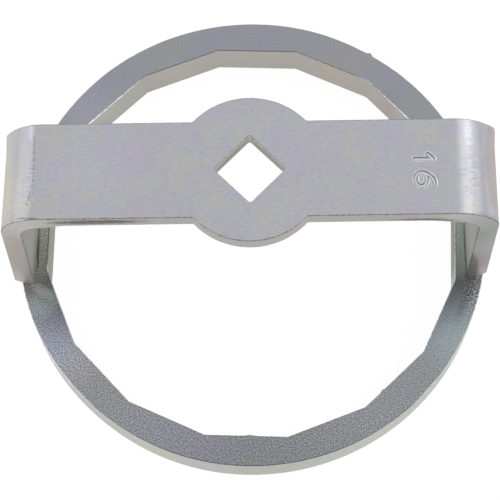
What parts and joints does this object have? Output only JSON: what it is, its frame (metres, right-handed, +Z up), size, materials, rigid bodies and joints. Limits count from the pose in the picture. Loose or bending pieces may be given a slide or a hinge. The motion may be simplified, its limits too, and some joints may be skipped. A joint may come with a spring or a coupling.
{
  "type": "oil filter cap wrench",
  "caption": "Ring with flats inside and a bent strap bridge with a square drive hole, for turning the cap of an oil filter.",
  "frame": {"origin": "centre of the sixteen-flat socket at the ring's underside", "axes": "+Z up along the drive axis, out of the square hole; +X along the bridge"},
  "size_m": [0.1298, 0.128, 0.0645],
  "materials": {
    "ring_zinc": "clear zinc plating, satin and slightly grainy",
    "bridge_zinc": "clear zinc plating, smooth satin with a faint tint",
    "weld_zinc": "zinc-plated weld bead"
  },
  "bodies": {
    "root": {"ring": "ring_zinc", "bridge": "bridge_zinc", "weld_left": "weld_zinc", "weld_right": "weld_zinc"}
  },
  "joints": []
}
